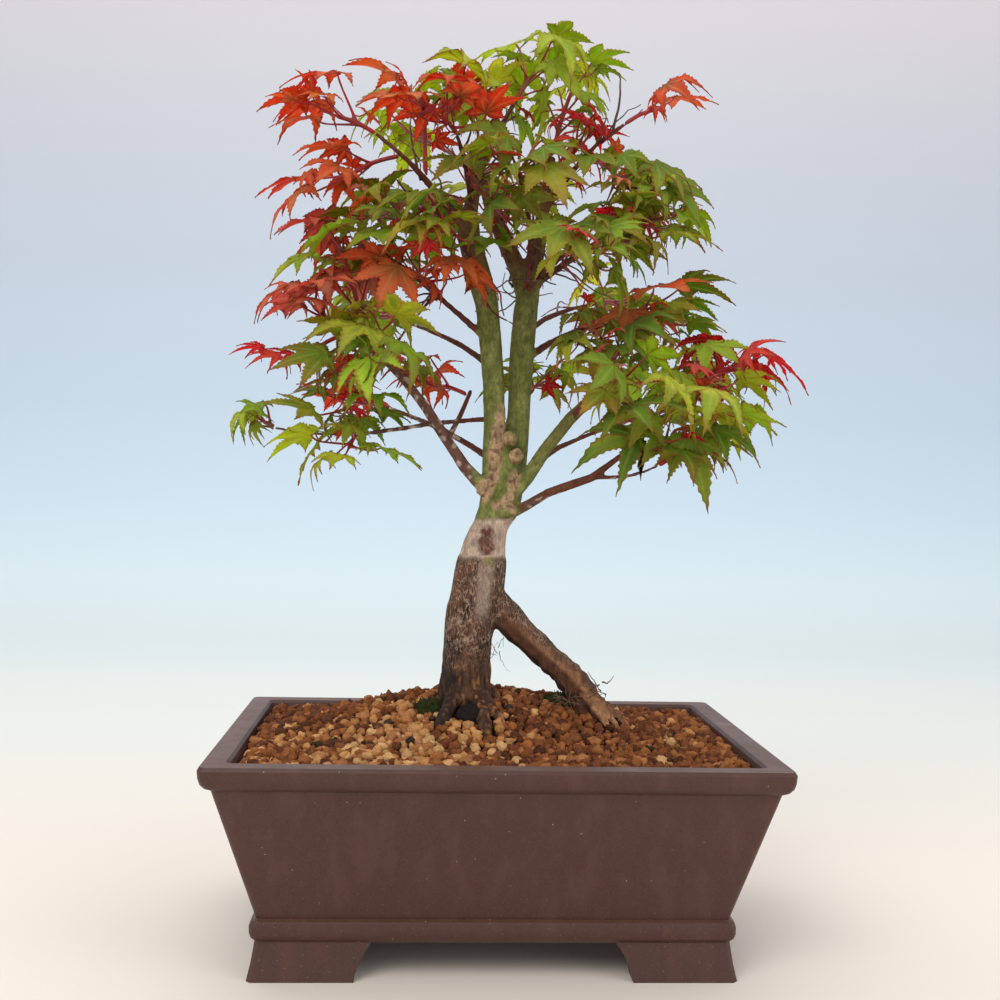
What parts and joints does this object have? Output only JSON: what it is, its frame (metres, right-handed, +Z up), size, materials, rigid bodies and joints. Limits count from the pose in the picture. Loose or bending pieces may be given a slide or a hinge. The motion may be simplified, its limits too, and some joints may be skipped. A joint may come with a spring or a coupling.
{
  "type": "maple bonsai in a pot",
  "caption": "Small Japanese maple bonsai with a twin trunk on two root legs, in autumn leaf, in a low rectangular unglazed pot filled with granular soil.",
  "frame": {"origin": "bottom centre of the whole plant's bounding box, on the plane that the pot stands on", "axes": "+Z up, +X along the pot's long side, -Y the front of the tree"},
  "size_m": [0.2218, 0.178, 0.3433],
  "materials": {
    "stoneware": "satin",
    "akadama": "matte",
    "bark": "matte",
    "stone": "matte",
    "moss": "matte",
    "screen": "matte",
    "clip_wire": "satin",
    "leaf_green": "satin",
    "leaf_lime": "satin",
    "leaf_orange": "satin",
    "leaf_salmon": "satin",
    "leaf_crimson": "satin"
  },
  "bodies": {
    "root": {"akadama_soil": "akadama", "dark_stone": "stone", "drain_screen_left": "screen", "drain_screen_right": "screen", "moss_leg": "moss", "moss_trunk": "moss", "pot": "stoneware", "screen_clip_left": "clip_wire", "screen_clip_right": "clip_wire", "spray_back_crown": "leaf_lime", "spray_back_high": "leaf_green", "spray_back_left": "leaf_green", "spray_back_low": "leaf_green", "spray_back_low_left": "leaf_orange", "spray_back_low_right": "leaf_green", "spray_back_right": "leaf_lime", "spray_crown_crimson": "leaf_crimson", "spray_crown_front_end": "leaf_orange", "spray_crown_front_low": "leaf_green", "spray_crown_left_droop": "leaf_green", "spray_crown_left_end": "leaf_orange", "spray_crown_left_inner": "leaf_green", "spray_crown_left_low": "leaf_orange", "spray_crown_left_top": "leaf_orange", "spray_crown_mid_end": "leaf_lime", "spray_crown_mid_left": "leaf_lime", "spray_crown_peak": "leaf_lime", "spray_crown_right_end": "leaf_orange", "spray_crown_right_low": "leaf_green", "spray_crown_top": "leaf_lime", "spray_fork_left": "leaf_green", "spray_front_left": "leaf_green", "spray_front_low_right": "leaf_green", "spray_front_mid": "leaf_green", "spray_front_right": "leaf_green", "spray_left_crimson": "leaf_crimson", "spray_left_front": "leaf_green", "spray_left_shoot": "leaf_salmon", "spray_left_stub": "leaf_orange", "spray_left_tip": "leaf_salmon", "spray_left_twig_end": "leaf_lime", "spray_left_twig_mid": "leaf_lime", "spray_left_under": "leaf_green", "spray_right_green_back": "leaf_lime", "spray_right_green_end": "leaf_crimson", "spray_right_green_low": "leaf_lime", "spray_right_high_crimson": "leaf_crimson", "spray_right_high_end": "leaf_lime", "spray_right_high_front": "leaf_green", "spray_right_knuckle": "leaf_green", "spray_right_low_end": "leaf_green", "spray_right_low_under": "leaf_green", "spray_right_mid_back": "leaf_green", "spray_right_mid_end": "leaf_green", "spray_right_mid_front": "leaf_green", "spray_right_mid_red": "leaf_orange", "spray_upper_left_back": "leaf_green", "spray_upper_left_end": "leaf_lime", "spray_upper_left_mid": "leaf_orange", "tree": "bark"}
  },
  "joints": []
}
